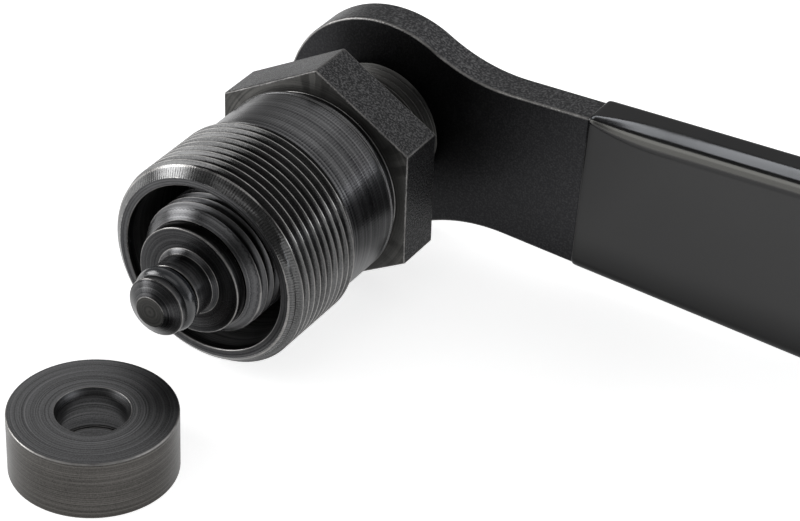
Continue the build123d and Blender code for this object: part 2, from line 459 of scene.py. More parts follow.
turned_black = turned_finish(
    "turned black steel",
    dark=(0.016, 0.016, 0.018),
    light=(0.15, 0.15, 0.153),
    roughness=0.29,
    lines_per_mm=5.5,
    depth_mm=0.007,
    wear=0.7,
)
tip_black = turned_finish(
    "tip black steel",
    dark=(0.008, 0.008, 0.009),
    light=(0.1, 0.1, 0.102),
    roughness=0.27,
    lines_per_mm=6.0,
    depth_mm=0.006,
    wear=0.8,
    streaks=0.45,
)
thread_black = turned_finish(
    "thread black steel",
    dark=(0.03, 0.03, 0.03),
    light=(0.148, 0.148, 0.148),
    roughness=0.2,
    lines_per_mm=5.5,
    depth_mm=0.004,
    wear=0.8,
    streaks=0.4,
    grains=0.7,
)
print("finishes:", turned_black.name, tip_black.name, thread_black.name)

# %% Finishes: faced ends, the bore and the adapter
DULL = {"roughness": 0.5, "lines_per_mm": 5.0, "depth_mm": 0.004, "wear": 0.5}
faced_black = turned_finish(
    "faced black steel", dark=(0.04, 0.04, 0.039), light=(0.11, 0.108, 0.103), **DULL
)
# The bore's wall is lighter than its black oxide: painted light in a recess that little light
# reaches.
bore_painted_light = turned_finish("bore steel", dark=(0.1, 0.1, 0.102), light=(0.3, 0.3, 0.304), **DULL)
HANDLED = {"depth_mm": 0.006, "wear": 1.5, "streaks": 0.5, "grains": 0.4}
# The adapter's top and bore are painted lighter than its steel, which is painted light, and its
# side darker, which is painted shade. The side's brown tint and finer lines are its own.
ring_painted_light = turned_finish(
    "adapter black steel",
    dark=(0.03, 0.03, 0.031),
    light=(0.19, 0.19, 0.194),
    roughness=0.36,
    lines_per_mm=10.0,
    **HANDLED,
)
ring_side_brown_and_shade = turned_finish(
    "adapter side steel",
    dark=(0.03, 0.0285, 0.0265),
    light=(0.142, 0.135, 0.127),
    roughness=0.31,
    lines_per_mm=12.0,
    **HANDLED,
)
print("finishes:", faced_black.name, bore_painted_light.name, ring_painted_light.name, ring_side_brown_and_shade.name)

# %% [markdown]
# Blasted steel.
# The hexagon's flats and the lever were blasted before they were blackened. Seen close, that is a
# speckle of light and dark grains. The same noise gives the bump and the flecks, so that each
# light fleck also stands up. The lever's face is nearly even, and its edges are coarser.


# %% Finish: blasted black steel
def blasted_finish(name, dark, light, roughness, grains_per_mm, depth_mm, wear):
    """Black oxide over a blasted grain, with edges worn towards bare steel."""
    material, tree, shader = new_finish(name)
    grain = use_group(tree, blasted_grain, Grains_per_mm=grains_per_mm)
    cloud = use_group(tree, oxide_clouds, Clouds_per_mm=0.1)["Cloud"]
    bare = use_group(tree, worn_edges, Wear=wear, Patches_per_mm=0.6)["Bare"]
    shade = blend(tree, (grain["Height"], 0.15), (grain["Fleck"], 0.85), (cloud, 0.1))
    oxide = tint(tree, shade, dark, light)
    gloss = spread(tree, cloud, 0, 1, roughness - 0.04, roughness + 0.06)
    tree.links.new(tint(tree, bare, oxide, BARE_STEEL), shader["Base Color"])
    tree.links.new(gloss, shader["Roughness"])
    tree.links.new(bumped(tree, grain["Height"], 1.0, depth_mm), shader["Normal"])
    shader["Metallic"].default_value = 1.0
    return material


hex_black = blasted_finish(
    "blasted hex steel",
    dark=(0.02, 0.02, 0.021),
    light=(0.115, 0.115, 0.117),
    roughness=0.36,
    grains_per_mm=5.0,
    depth_mm=0.045,
    wear=1.0,
)
lever_face_black = blasted_finish(
    "lever face",
    dark=(0.03, 0.03, 0.032),
    light=(0.048, 0.048, 0.05),
    roughness=0.34,
    grains_per_mm=5.0,
    depth_mm=0.01,
    wear=0.5,
)
lever_edge_black = blasted_finish(
    "lever edge",
    dark=(0.026, 0.026, 0.028),
    light=(0.13, 0.13, 0.133),
    roughness=0.38,
    grains_per_mm=4.0,
    depth_mm=0.03,
    wear=0.9,
)
print("finishes:", hex_black.name, lever_face_black.name, lever_edge_black.name)

# %% [markdown]
# Vinyl, rubber and spring steel.
# The grip is dipped vinyl: black, glossy and not a metal at all. The O-ring is oiled rubber. The
# snap ring inside is bright spring steel. All three are smooth, so a faint ripple and soft clouds
# in colour and gloss are enough to keep them from looking like plain plastic.


# %% Finishes: vinyl, rubber and spring steel
def smooth_finish(
    name, dark, light, roughness, ripple_per_mm, ripple_mm, metallic=0.0, specular=0.5
):
    """A smooth skin with soft clouds in its colour and gloss and a faint ripple."""
    material, tree, shader = new_finish(name)
    cloud = use_group(tree, oxide_clouds, Clouds_per_mm=0.15)["Cloud"]
    ripple = use_group(tree, oxide_clouds, Clouds_per_mm=ripple_per_mm)["Cloud"]
    gloss = spread(tree, cloud, 0, 1, roughness - 0.03, roughness + 0.04)
    tree.links.new(tint(tree, cloud, dark, light), shader["Base Color"])
    tree.links.new(gloss, shader["Roughness"])
    tree.links.new(bumped(tree, ripple, 0.25, ripple_mm), shader["Normal"])
    shader["Metallic"].default_value = metallic
    shader["Specular IOR Level"].default_value = specular
    return material


grip_vinyl = smooth_finish(
    "dipped vinyl",
    dark=(0.003, 0.003, 0.0035),
    light=(0.006, 0.006, 0.0065),
    roughness=0.13,
    ripple_per_mm=0.35,
    ripple_mm=0.012,
)
seal_rubber = smooth_finish(
    "seal rubber",
    dark=(0.01, 0.011, 0.013),
    light=(0.018, 0.02, 0.024),
    roughness=0.22,
    ripple_per_mm=0.9,
    ripple_mm=0.006,
    specular=0.9,
)
spring_steel = smooth_finish(
    "spring steel",
    dark=(0.28, 0.28, 0.285),
    light=(0.36, 0.36, 0.365),
    roughness=0.3,
    ripple_per_mm=1.5,
    ripple_mm=0.008,
    metallic=1.0,
)
print("finishes:", grip_vinyl.name, seal_rubber.name, spring_steel.name)

# %% [markdown]
# Threads.
# A thread can be an array of rings, a screwed profile cut by a Boolean, or a bump. Here rows
# follow the helix itself: each row is one line of the thread's profile, and it climbs one pitch in
# a turn. A chamfer or a run-out is then only a limit on how far the rows reach out.

# %% Rows along a thread
CREST_FLAT = 0.1
ROOT_FLAT = 0.24
CREST_SOFT = 0.035
HATCH_FADE = 8


def thread_profile():
    """Stages of one pitch of a thread: share of the pitch, share of the depth, and wear."""
    flank = (1 - CREST_FLAT - ROOT_FLAT) / 2
    soft = CREST_SOFT / flank
    return [
        (0.0, 0.0, 1.0),
        (CREST_FLAT, 0.0, 1.0),
        (CREST_FLAT + CREST_SOFT, soft, 0.0),
        (CREST_FLAT + flank / 2, 0.5, 0.0),
        (CREST_FLAT + flank, 1.0, 0.0),
        (CREST_FLAT + flank + ROOT_FLAT, 1.0, 0.0),
        (1 - flank / 2, 0.5, 0.0),
        (1 - CREST_SOFT, soft, 0.0),
    ]


def thread_rows(start, end, pitch, crest_radius, depth, limit, columns, hatch_end=None, finish=0):
    """Rows that climb with a right-hand thread from start to end, never beyond limit(station).

    Stations before hatch_end carry the chatter marks of a chamfer.
    """
    stages = thread_profile()
    climb = -pitch * columns / (2 * pi)
    rows = []
    turn = 0
    while not rows or rows[-1].station.min() < end:
        for share, sunk, wear in stages:
            station = np.clip(start + (turn + share) * pitch + climb, start, end)
            radius = np.minimum(crest_radius - depth * sunk, limit(station))
            worn = np.where((station > start) & (station < end), wear, 0.0)
            hatch = 0.0
            if hatch_end is not None:
                hatch = np.clip((hatch_end - station) * HATCH_FADE, 0, 1)
            rows.append(Row(radius, station, worn, len(stages), finish, hatch))
        turn += 1
    return rows


print("stages of a thread's profile:", len(thread_profile()))

# %% [markdown]
# The puller body.
# It is one turned and milled piece: a fine crank thread in front, a plain shank, an undercut, a
# hexagon for the spanner, and a bore with the spindle's hole behind it. The parts could be
# separate primitives pushed into each other, but then the export would hold faces that nobody
# sees. One closed loop of rows runs from the bore's mouth over the thread, the shank and the
# hexagon, and back through the hole. The columns are gathered at the hexagon's corners, so that
# these can be rounded too.

# %% The hexagon's radius at each angle
hex_half_width = 11.0
hex_turn = radians(0.45)
hex_corner_rounding = 0.15
SECTOR = radians(60)
CORNER_WEAR = 0.4
WORN_ANGLE = radians(0.6)


def hexagon(columns):
    """Radius of the hexagon, its corners rounded by arcs, and how worn each corner is."""
    off_flat = np.abs((columns - hex_turn + SECTOR / 2) % SECTOR - SECTOR / 2)
    off_corner = SECTOR / 2 - off_flat
    flat = hex_half_width / np.cos(off_flat)
    rounding = hex_corner_rounding
    arc_middle = (hex_half_width - rounding) / cos(SECTOR / 2)
    bend = np.sqrt(np.maximum(rounding**2 - (arc_middle * np.sin(off_corner)) ** 2, 0))
    arc_end = (rounding * sin(SECTOR / 2), arc_middle + rounding * cos(SECTOR / 2))
    radius = np.where(off_corner < atan2(*arc_end), arc_middle * np.cos(off_corner) + bend, flat)
    return radius, CORNER_WEAR * np.clip(1.3 - off_corner / WORN_ANGLE, 0, 1)


def hex_columns():
    """Angles around the body, gathered closely at the hexagon's six corners."""
    near = np.radians([0.0, 0.17, 0.36, 0.6, 0.95, 1.45, 2.15, 3.0, 4.1])
    wide = np.radians(np.linspace(5.4, 28.6, 18))
    half = np.concatenate([near, wide])
    sector = np.concatenate([half, [SECTOR / 2], SECTOR - half[:0:-1]])
    corners = hex_turn + SECTOR / 2 + SECTOR * np.arange(6)
    return np.sort((corners[:, None] + sector).ravel() % (2 * pi))


body_columns = hex_columns()
hex_shape, corner_wear = hexagon(body_columns)
print(f"hexagon: {len(body_columns)} columns, {hex_shape.max() * 2:.2f} mm across corners")

# %% The rim and the crank thread
CRANK_PITCH = 1.0
crank_radius = 11.0
rim_radius = 9.85
rim_end = 0.0
rim_band = 0.06
thread_end = 10.0
runout = 0.5
shank_radius = 10.4
bore_radius = 9.0
bore_mouth = body_low.y + 1
thread_depth = crank_radius - shank_radius
# Places in the body's list of finishes
TURNED, BLASTED, FACED, THREADED, BORED = range(5)


def body_limit(station):
    """How far out the crank thread reaches between the chamfer in front and the run-out behind."""
    chamfer_share = (station - body_low.y) / (rim_end - body_low.y)
    chamfer = rim_radius + (crank_radius - rim_radius) * chamfer_share
    fade = shank_radius + thread_depth * (thread_end - station) / runout
    return np.minimum(chamfer, fade)


rim = round_corners(
    [
        (bore_radius, bore_mouth, 0),
        (bore_radius, body_low.y, 0.15),
        (rim_radius - rim_band, body_low.y, 0),
        (rim_radius, body_low.y, 0),
    ]
)
rim[0] = rim[0]._replace(finish=BORED)
rim[-1] = rim[-1]._replace(edge=0.8)
crank_thread = thread_rows(
    body_low.y,
    thread_end,
    CRANK_PITCH,
    crank_radius,
    thread_depth,
    body_limit,
    body_columns,
    hatch_end=rim_end,
    finish=THREADED,
)
print("rim and crank thread:", len(rim) + len(crank_thread), "rows")

# %% [markdown]
# The shank has a shallow groove near its end, which leaves a bead in front of the undercut. A row
# close behind the thread keeps the run-out's uneven normals from reaching along the whole shank,
# where they would show as long spikes of light.

# %% The shank and its bead
shank_end = 17.5
undercut_radius = 9.7
undercut_end = 17.75
hex_front = 18.75
run_in = 0.12
bead_groove = 0.1
groove_floor = shank_radius - bead_groove
groove_start = shank_end - 0.75
floor_start = shank_end - 0.55
floor_end = shank_end - 0.42
bead_start = shank_end - 0.32
SHANK_HATCH = 0.35
shank = round_corners(
    [
        (shank_radius, thread_end, 0),
        (shank_radius, thread_end + run_in, 0),
        (shank_radius, groove_start, 0.15),
        (groove_floor, floor_start, 0.08),
        (groove_floor, floor_end, 0.04),
        (shank_radius, bead_start, 0.1),
        (shank_radius, shank_end, 0.13),
        (undercut_radius, undercut_end, 0.1),
        (undercut_radius, hex_front, 0.1),
        (hex_half_width, hex_front, 0),
    ],
    finish=TURNED,
)[:-1]
shank = [row._replace(hatch=SHANK_HATCH * (row.station < shank_end)) for row in shank]
print("shank:", len(shank), "rows")

# %% The hexagon's rows
# Inset, set back and wear of each row on the hexagon's rounded edge
HEX_EDGE = ((0.2, 0.0, 0.0), (0.07, 0.05, 1.0), (0.0, 0.18, 0.0))
hexagon_front = []
hexagon_back = []
for inset, set_back, wear in HEX_EDGE:
    worn = np.maximum(wear, corner_wear * (inset == 0))
    finish = BLASTED if set_back > 0 else FACED
    hexagon_front.append(Row(hex_shape - inset, hex_front + set_back, worn, finish=finish))
    hexagon_back.append(Row(hex_shape - inset, body_high.y - set_back, worn, finish=BLASTED))
hexagon_rows = hexagon_front + hexagon_back[::-1]
print("hexagon:", len(hexagon_rows), "rows")

# %% The back, the bore and the finished body
bore_end = 10.1
bore_corner = 0.8
screw_hole_radius = 7.15
hole_chamfer = 0.6
back = round_corners(
    [
        (hex_half_width, body_high.y, 0),
        (screw_hole_radius + hole_chamfer, body_high.y, 0.1),
        (screw_hole_radius, body_high.y - hole_chamfer, 0.1),
        (screw_hole_radius, bore_end, 0.2),
        (bore_radius - bore_corner, bore_end, 0.2),
        (bore_radius, bore_end - bore_corner, 0.2),
        (bore_radius, bore_mouth, 0),
    ],
    finish=FACED,
)[1:-1]
body_rows = rim + crank_thread + shank + hexagon_rows + back
body_mesh = lathe("puller_body", body_rows, body_columns, along_tool, closed=True)
body_finishes = (turned_black, hex_black, faced_black, thread_black, bore_painted_light)
puller_body = seat(body_mesh, "puller_body", "puller", "black_turned_steel", *body_finishes)

# %% [markdown]
# The spindle.
# A coarse bar with a fine thread from end to end. Its front is coned and holds the tip's socket,
# and its back has a tenon with two flats that the lever sits on, peened over into a low head. The
# tenon could be cut by a Boolean. The same rows do it too: it is a row whose radius is a circle
# cut by two flats. Behind the hexagon the thread is dry and dull, so it takes the finish of the
# faced ends.

# %% The spindle's front
screw_front_radius = 5.85
socket_radius = 3.08
socket_end = 8.1
socket_point = 1.6
groove_front = 3.0
groove_back = 4.0
groove_radius = 3.54
clean_cone = 0.9
thread_start = spindle_low.y + clean_cone
socket = round_corners(
    [
        (0, socket_end + socket_point, 0),
        (socket_radius, socket_end, 0),
        (socket_radius, groove_back, 0),
        (groove_radius, groove_back, 0),
        (groove_radius, groove_front, 0),
        (socket_radius, groove_front, 0),
        (socket_radius, spindle_low.y, 0.2),
        (screw_front_radius, spindle_low.y, 0.06),
        (screw_front_radius + clean_cone, thread_start, 0),
    ]
)
print("socket and cone:", len(socket), "rows")

# %% The spindle's thread, tenon and head
SPINDLE_PITCH = 1.0
screw_radius = spindle_high.x
screw_depth = 0.58
screw_fade = 0.4
lever_face = bar_low.y
lever_back = bar_high.y
tenon_radius = 5.2
tenon_half_width = 4.2
head_radius = 6.4
head_side = 0.6
head_lean = 0.25
head_dome = 1.2
spindle_columns = even_columns(180)


def screw_limit(station):
    """The cone at the spindle's front, and a short fade where the thread meets the lever."""
    cone = screw_front_radius + (station - spindle_low.y)
    fade = screw_radius - screw_depth + (lever_face - station) / screw_fade * screw_depth
    return np.minimum(cone, fade)


def two_flats(columns):
    """Radius of a circle that is cut by two flats."""
    return np.minimum(tenon_radius, tenon_half_width / np.maximum(np.abs(np.cos(columns)), 1e-6))


screw = thread_rows(
    thread_start, lever_face, SPINDLE_PITCH, screw_radius, screw_depth, screw_limit, spindle_columns
)
screw = [row._replace(finish=int(row.station.min() > body_high.y)) for row in screw]
tenon_shape = two_flats(spindle_columns)
tail = [Row(tenon_shape, lever_face), Row(tenon_shape, lever_back)]
tail += round_corners(
    [
        (tenon_radius, lever_back, 0),
        (head_radius, lever_back, 0.15),
        (head_radius - head_lean, lever_back + head_side, 0.3),
        (head_radius - head_dome, spindle_high.y, 0.6),
        (0, spindle_high.y, 0),
    ]
)[1:]
spindle_mesh = lathe("spindle", socket + screw + tail, spindle_columns, along_tool)
spindle_finishes = (turned_black, faced_black)
spindle = seat(spindle_mesh, "spindle", "lever", "black_turned_steel", *spindle_finishes)

# %% [markdown]
# The swivel tip and its O-ring.
# The tip is a little turned stud: a coned nose with a groove for the O-ring, a flat disc that
# pushes, and a shank that turns in the spindle's socket, where a snap ring holds it. Blender has a
# torus primitive for the O-ring. The lathe takes closed profiles as well, so it is a circle spun
# around the axis, with the same helper and the same attributes. The snap ring is hidden, so its
# solid stays and only gets its finish.

# %% The tip's rows
disc_radius = tip_high.x
disc_front = -3.3
disc_back = -2.0
nose_radius = 3.1
nose_end_radius = 1.6
nose_cone_base = -8.65
neck_flare = 0.45
seal_middle = -7.0
seal_reach = 0.94
seal_groove_radius = 1.6
tip_shank_radius = 3.0
tip_chamfer = 0.4
shank_groove_radius = 2.54
tip_columns = even_columns(144)
tip_rows = round_corners(
    [
        (0, tip_low.y, 0),
        (nose_end_radius, tip_low.y, 0.25),
        (nose_radius, nose_cone_base, 0.2),
        (nose_radius, seal_middle - seal_reach, 0.12),
        (seal_groove_radius, seal_middle - seal_reach, 0),
        (seal_groove_radius, seal_middle + seal_reach, 0),
        (nose_radius, seal_middle + seal_reach, 0.12),
        (nose_radius, disc_front - neck_flare, 0.15),
        (nose_radius + neck_flare, disc_front, 0.15),
        (disc_radius, disc_front, 0.15),
        (disc_radius, disc_back, 0.12),
        (tip_shank_radius, disc_back, 0),
        (tip_shank_radius, groove_front, 0.06),
        (shank_groove_radius, groove_front, 0),
        (shank_groove_radius, groove_back, 0),
        (tip_shank_radius, groove_back, 0.06),
        (tip_shank_radius, tip_high.y - tip_chamfer, 0.1),
        (tip_shank_radius - tip_chamfer, tip_high.y, 0.1),
        (0, tip_high.y, 0),
    ]
)
tip_rows[1] = tip_rows[1]._replace(finish=1)
tip_mesh = lathe("swivel_tip", tip_rows, tip_columns, along_tool)
swivel_tip = seat(tip_mesh, "swivel_tip", "tip", "black_turned_steel", tip_black, faced_black)

# %% The O-ring's rows and the snap ring's finish
seal_radius = 2.54
seal_wire_radius = 0.89
seal_rows = []
for angle in even_columns(32):
    across = seal_radius + seal_wire_radius * cos(angle)
    seal_rows.append(Row(across, seal_middle + seal_wire_radius * sin(angle)))
seal_mesh = lathe("nose_o_ring", seal_rows, tip_columns, along_tool, closed=True)
nose_seal = seat(seal_mesh, "nose_o_ring", "tip", "o_ring_rubber", seal_rubber)
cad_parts["tip_retaining_ring"].material_slots[0].material = spring_steel

# %% [markdown]
# The adapter ring.
# A plain ring turned from bar, which clips over the nose's O-ring for wider axles. It lies flat in
# front of the tool, so it is spun around an upright axis of its own. A thick tube from two
# cylinders would do for its outline, but its rounded rim and the groove inside its bore are what
# the light picks out.

# %% The adapter's rows
ring_middle = (ring_low + ring_high) / 2
ring_radius = (ring_high.x - ring_low.x) / 2
ring_height = ring_high.z - ring_low.z
ring_bore = 3.35
ring_groove = 3.65
ring_groove_low = 1.75
ring_groove_high = 3.65
ring_taper = 0.3
ring_taper_depth = 0.8
ring_foot = 0.35
side_reach = 0.01


def around_adapter(across, up, station):
    """Points around the adapter's own upright axis, with stations measured from the floor."""
    place = [ring_middle.x + across, ring_middle.y + up, ring_low.z + station]
    return np.stack(place, axis=-1)


ring_rows = round_corners(
    [
        (ring_bore + ring_foot, 0, 0.1),
        (ring_radius, 0, 0.12),
        (ring_radius, ring_height, 0.16),
        (ring_bore + ring_taper, ring_height, 0.06),
        (ring_bore, ring_height - ring_taper_depth, 0.1),
        (ring_bore, ring_groove_high, 0.05),
        (ring_groove, ring_groove_high, 0.05),
        (ring_groove, ring_groove_low, 0.05),
        (ring_bore, ring_groove_low, 0.05),
        (ring_bore, ring_foot, 0.1),
    ],
    closed=True,
)
ring_rows = [row._replace(finish=int(row.radius > ring_radius - side_reach)) for row in ring_rows]
ring_mesh = lathe("adapter_ring", ring_rows, even_columns(192), around_adapter, closed=True)
ring_finishes = (ring_painted_light, ring_side_brown_and_shade)
adapter = seat(ring_mesh, "adapter_ring", "puller", "black_turned_steel", *ring_finishes)

# %% [markdown]
# The lever.
# A bar blanked from plate: a round eye that flows through a hollow neck into a straight, flaring
# handle. The outline could be traced as a curve. Here it is built from the circles and lines that
# a designer would draw, and each point also keeps the direction that faces outwards, so that the
# same outline can be shrunk for a rounded edge.

# %% The lever's outline
eye_radius = -bar_low.x
neck_station = 24.0
neck_half_width = 8.85
neck_blend = 18.5
flare_station = 98.0
flare_half_width = bar_high.z
flare_blend = 150.0
lever_end = bar_high.x
end_corner = 9.0
SIDE_STATIONS = (25.9, 26.5)
flare_rate = (flare_half_width - neck_half_width) / (flare_station - neck_station)
root_half_width = neck_half_width - flare_rate * neck_station


def arc(middle, radius, start, end, steps, facing=1):
    """Points (x, z) of an arc with their outward directions, from angle start to angle end."""
    turns = np.linspace(start, end, steps + 1)
    spokes = np.stack([np.cos(turns), np.sin(turns)], axis=-1)
    return np.concatenate([np.array(middle) + radius * spokes, facing * spokes], axis=-1)


def lever_outline():
    """The lever's closed outline: points (x, z) and outward directions."""
    slope = atan2(flare_rate, 1)
    side_out = np.array((-sin(slope), cos(slope)))
    side_on = np.array((cos(slope), sin(slope)))
    side_off = root_half_width * cos(slope) + neck_blend
    blend_off = eye_radius + neck_blend
    blend_middle = side_out * side_off + side_on * sqrt(blend_off**2 - side_off**2)
    touch = atan2(blend_middle[1], blend_middle[0])
    flare_cut = flare_blend * tan(slope / 2)
    flare_middle = (flare_station + flare_cut, flare_half_width - flare_blend)
    end_middle = (lever_end - end_corner, flare_half_width - end_corner)
    sides = []
    for station in SIDE_STATIONS:
        sides.append((station, root_half_width + flare_rate * station, *side_out))
    upper = np.concatenate(
        [
            arc((0, 0), eye_radius, pi, touch, 72),
            arc(blend_middle, neck_blend, touch - pi, slope - pi / 2, 24, facing=-1)[1:],
            sides,
            arc(flare_middle, flare_blend, pi / 2 + slope, pi / 2, 4),
            arc(end_middle, end_corner, pi / 2, 0, 16),
            [(lever_end, 0, 1, 0)],
        ]
    )
    lower = upper[-2:0:-1] * (1, -1, 1, -1)
    return np.concatenate([upper, lower])


outline = lever_outline()
print("lever outline:", len(outline), "points")

# %% [markdown]
# Under the grip the bar's edge is rounder than where it shows, so that it stays below the vinyl's
# own round edge. Loops of points around the outline, one for each step of the rounded edge, are
# joined into bands. The two flat faces around the tenon's hole close the bar.


# %% Loops and bands
def add_loop(work, points, stations, wear=0.0):
    """Add a closed loop of points (x, z) at one station or a station each, all worn alike."""
    loop = []
    for (across, up), station in zip(points, np.broadcast_to(stations, len(points))):
        vertex = work.verts.new((across * MM, station * MM, up * MM))
        vertex[work.verts.layers.float["edge"]] = wear
        loop.append(vertex)
    return loop


def join_loops(work, first, second, finish):
    """A band of faces between two loops of as many points."""
    for index in range(len(first)):
        on = (index + 1) % len(first)
        face = work.faces.new((first[index], first[on], second[on], second[index]))
        face.material_index = finish


def face_with_hole(work, rim, hole):
    """Two flat faces between a rim and a hole, split where both cross the middle line."""
    rim_half = len(rim) // 2
    hole_half = len(hole) // 2
    work.faces.new(rim[: rim_half + 1] + hole[: hole_half + 1])
    work.faces.new(rim[rim_half:] + rim[:1] + hole[hole_half:] + hole[:1])


def finish_mesh(work, name):
    """Turn the faces outwards and keep the work as a mesh."""
    bmesh.ops.recalc_face_normals(work, faces=work.faces)
    mesh = bpy.data.meshes.new(name)
    work.to_mesh(mesh)
    work.free()
    return mesh


# %% The lever's mesh
BAR_EDGE = 0.25
COVERED_EDGE = 0.9
COVERED_FROM = 26.0
EDGE_STEPS = 4
hole_play = 0.05
edge_radius = np.where(outline[:, 0] > COVERED_FROM, COVERED_EDGE, BAR_EDGE)
bar_rows = []
for step in range(EDGE_STEPS + 1):
    turn = step / EDGE_STEPS * pi / 2
    margin = edge_radius * (sin(turn) - 1)
    bar_rows.append((margin, lever_face + edge_radius * (1 - cos(turn)), sin(2 * turn)))
for margin, station, wear in bar_rows[::-1]:
    bar_rows.append((margin, lever_face + lever_back - station, wear))


def make_bar():
    """The lever bar: bands around its outline, the tenon's hole, and two flat faces."""
    work = bmesh.new()
    work.verts.layers.float.new("edge")
    loops = []
    for margin, station, wear in bar_rows:
        points = outline[:, :2] + outline[:, 2:] * margin[:, None]
        loops.append(add_loop(work, points, station, wear))
    for first, second in zip(loops, loops[1:]):
        join_loops(work, first, second, 1)
    turns = even_columns(96)
    hole = np.stack([np.cos(turns), np.sin(turns)], axis=-1)
    hole = hole * (two_flats(turns) + hole_play)[:, None]
    holes = [add_loop(work, hole, station) for station in (lever_face, lever_back)]
    join_loops(work, holes[0], holes[1], 0)
    face_with_hole(work, loops[0], holes[0])
    face_with_hole(work, loops[-1], holes[1])
    return finish_mesh(work, "lever_bar")


bar_finishes = (lever_face_black, lever_edge_black)
lever_bar = seat(make_bar(), "lever_bar", "lever", "black_lever_steel", *bar_finishes)

# %% [markdown]
# The grip.
# The handle was dipped in vinyl, which pulls thin and round over the bar's edges and ends in a
# soft lip that is never quite straight. A Solidify modifier would give an even wall with hard
# edges. A loft of rounded sections along the handle gives the soft edge that carries the long
# highlights. In front, the upper edge is sharp at the lip and soon grows rounder, which is why the
# highlights fan out from one point.

# %% The grip's sections
grip_start = 23.55
grip_wall = (grip_high.z - grip_low.z) / 2 - flare_half_width
LIP_EDGE = 0.6
FULL_EDGE = 2.2
FULL_EDGE_STATION = 32.0
LOWER_EDGE = 1.5
REAR_EDGE = 1.0
SEAT_EDGE = 0.8
LEAST_EDGE = 0.2
CORNER_STEPS = 14


def half_width(station):
    """Half of the bar's width along its straight, flaring sides."""
    return min(neck_half_width + flare_rate * (station - neck_station), flare_half_width)


def edges(station, rounded):
    """Radii of the upper front, lower front and rear corners of the coat, or of its seat."""
    if not rounded:
        return (SEAT_EDGE,) * 3
    left = (FULL_EDGE_STATION - station) / (FULL_EDGE_STATION - grip_start)
    upper_front = FULL_EDGE - (FULL_EDGE - LIP_EDGE) * min(max(left, 0), 1) ** 2
    return upper_front, LOWER_EDGE, REAR_EDGE


def section(across, thick, radii):
    """Points (y, z) around a bar's section, half across and half thick, with rounded corners."""
    turns = np.linspace(0, pi / 2, CORNER_STEPS + 1)
    quarter = np.stack([np.cos(turns), np.sin(turns)], axis=-1)
    corners = []
    for radius in radii:
        radius = min(max(radius, LEAST_EDGE), thick)
        corners.append(np.array((thick - radius, across - radius)) + radius * quarter)
    upper_front, lower_front, rear = corners
    upper = [rear, upper_front[::-1] * (-1, 1)]
    lower = [lower_front * (-1, -1), rear[::-1] * (1, -1)]
    return np.concatenate(upper + lower)


print(f"grip wall: {grip_wall:.2f} mm")

# %% The grip's coat
# Distance behind the dip line, and the share of the wall that the vinyl has there
LIP = ((0.0, 0.15), (0.03, 0.45), (0.1, 0.72), (0.22, 0.9), (0.4, 0.98), (0.7, 1.0))
END_EDGE = 0.28
END_TURNS = np.radians([10, 20, 30, 40, 48, 55, 60, 65, 70, 74, 78, 82, 86, 90])
bar_half = (lever_back - lever_face) / 2
corner_start = lever_end - end_corner
near_lip = np.arange(grip_start + 1, grip_start + 10, 1.0)
handle_stations = [*near_lip, *np.linspace(grip_start + 11, corner_start, 32)]


def coat(margin, lip, rounded):
    """Sections of a coat over the handle from its start to its closed end: station and points."""
    full = bar_half + margin
    rows = []
    for set_back, share in lip:
        thin = margin * share
        station = grip_start + set_back
        radii = np.array(edges(station, rounded)) - (margin - thin)
        rows.append((station, section(half_width(station) + thin, bar_half + thin, radii)))
    for station in handle_stations:
        across = half_width(station) + margin
        rows.append((station, section(across, full, edges(station, rounded))))
    reach = end_corner + margin
    for turn in END_TURNS:
        station = corner_start + reach * sin(turn)
        across = flare_half_width - end_corner + reach * cos(turn)
        past = max(station - (lever_end + margin - END_EDGE), 0)
        thick = full - END_EDGE + sqrt(max(END_EDGE**2 - past**2, 0))
        rows.append((station, section(across, thick, edges(station, rounded))))
    return rows


print("stations along the handle:", len(handle_stations))

# %% The grip's mesh
lip_lean = radians(2.9)
LIP_FADE = 6.0
SLOW_WAVE = 0.08
FINE_WAVE = 0.04
seat_gap = 0.03
bar_middle = (lever_back + lever_face) / 2


def lip_shift(points):
    """How far the dip line runs out or in around the bar: its lean, a slow wave and a finer one."""
    turns = np.arctan2(points[:, 1], points[:, 0] * 3)
    waves = SLOW_WAVE * np.sin(2 * turns + 0.8) + FINE_WAVE * np.sin(5 * turns)
    return points[:, 1] * tan(lip_lean) + waves


def make_grip():
    """The grip: an outer coat with its lip, turned inwards into the seat around the bar."""
    outer = coat(grip_wall, LIP, rounded=True)
    inner = coat(seat_gap, ((0.0, 1.0),), rounded=False)
    work = bmesh.new()
    loops = []
    for station, points in inner[::-1] + outer:
        waver = lip_shift(points) * max(1 - (station - grip_start) / LIP_FADE, 0)
        loop = []
        for (deep, up), shift in zip(points, waver):
            place = ((station + shift) * MM, (bar_middle + deep) * MM, up * MM)
            loop.append(work.verts.new(place))
        loops.append(loop)
    for first, second in zip(loops, loops[1:]):
        join_loops(work, first, second, 0)
    work.faces.new(loops[0])
    work.faces.new(loops[-1])
    return finish_mesh(work, "lever_grip")


lever_grip = seat(make_grip(), "lever_grip", "lever", "grip_vinyl", grip_vinyl)

# %% [markdown]
# The floor.
# The tool lies on a white sweep. The floor is a large pale sheet that takes a soft shadow. Far
# behind the tool its colour turns grey, which is painted shade. To the camera it glows a little, so
# that it comes out white without more light on the tool. In reflections it glows by place, which is
# painted light: brightest before the grip, whose face mirrors it, with one more bright patch at
# the left. Its dimmer places are painted shade: beside the steel and under the grip's lower edge,
# where the tool's own shadow lies, and darker behind the tool.

# %% The floor's sheet
FLOOR_RADIUS = 4.0
floor_mesh = bpy.data.meshes.new("floor")
work = bmesh.new()
bmesh.ops.create_circle(work, cap_ends=True, radius=FLOOR_RADIUS, segments=96)
work.to_mesh(floor_mesh)
work.free()
floor = bpy.data.objects.new("floor", floor_mesh)
floor.location.z = floor_level * MM
bpy.context.scene.collection.objects.link(floor)
print(f"floor: {FLOOR_RADIUS * 2:.0f} m across")

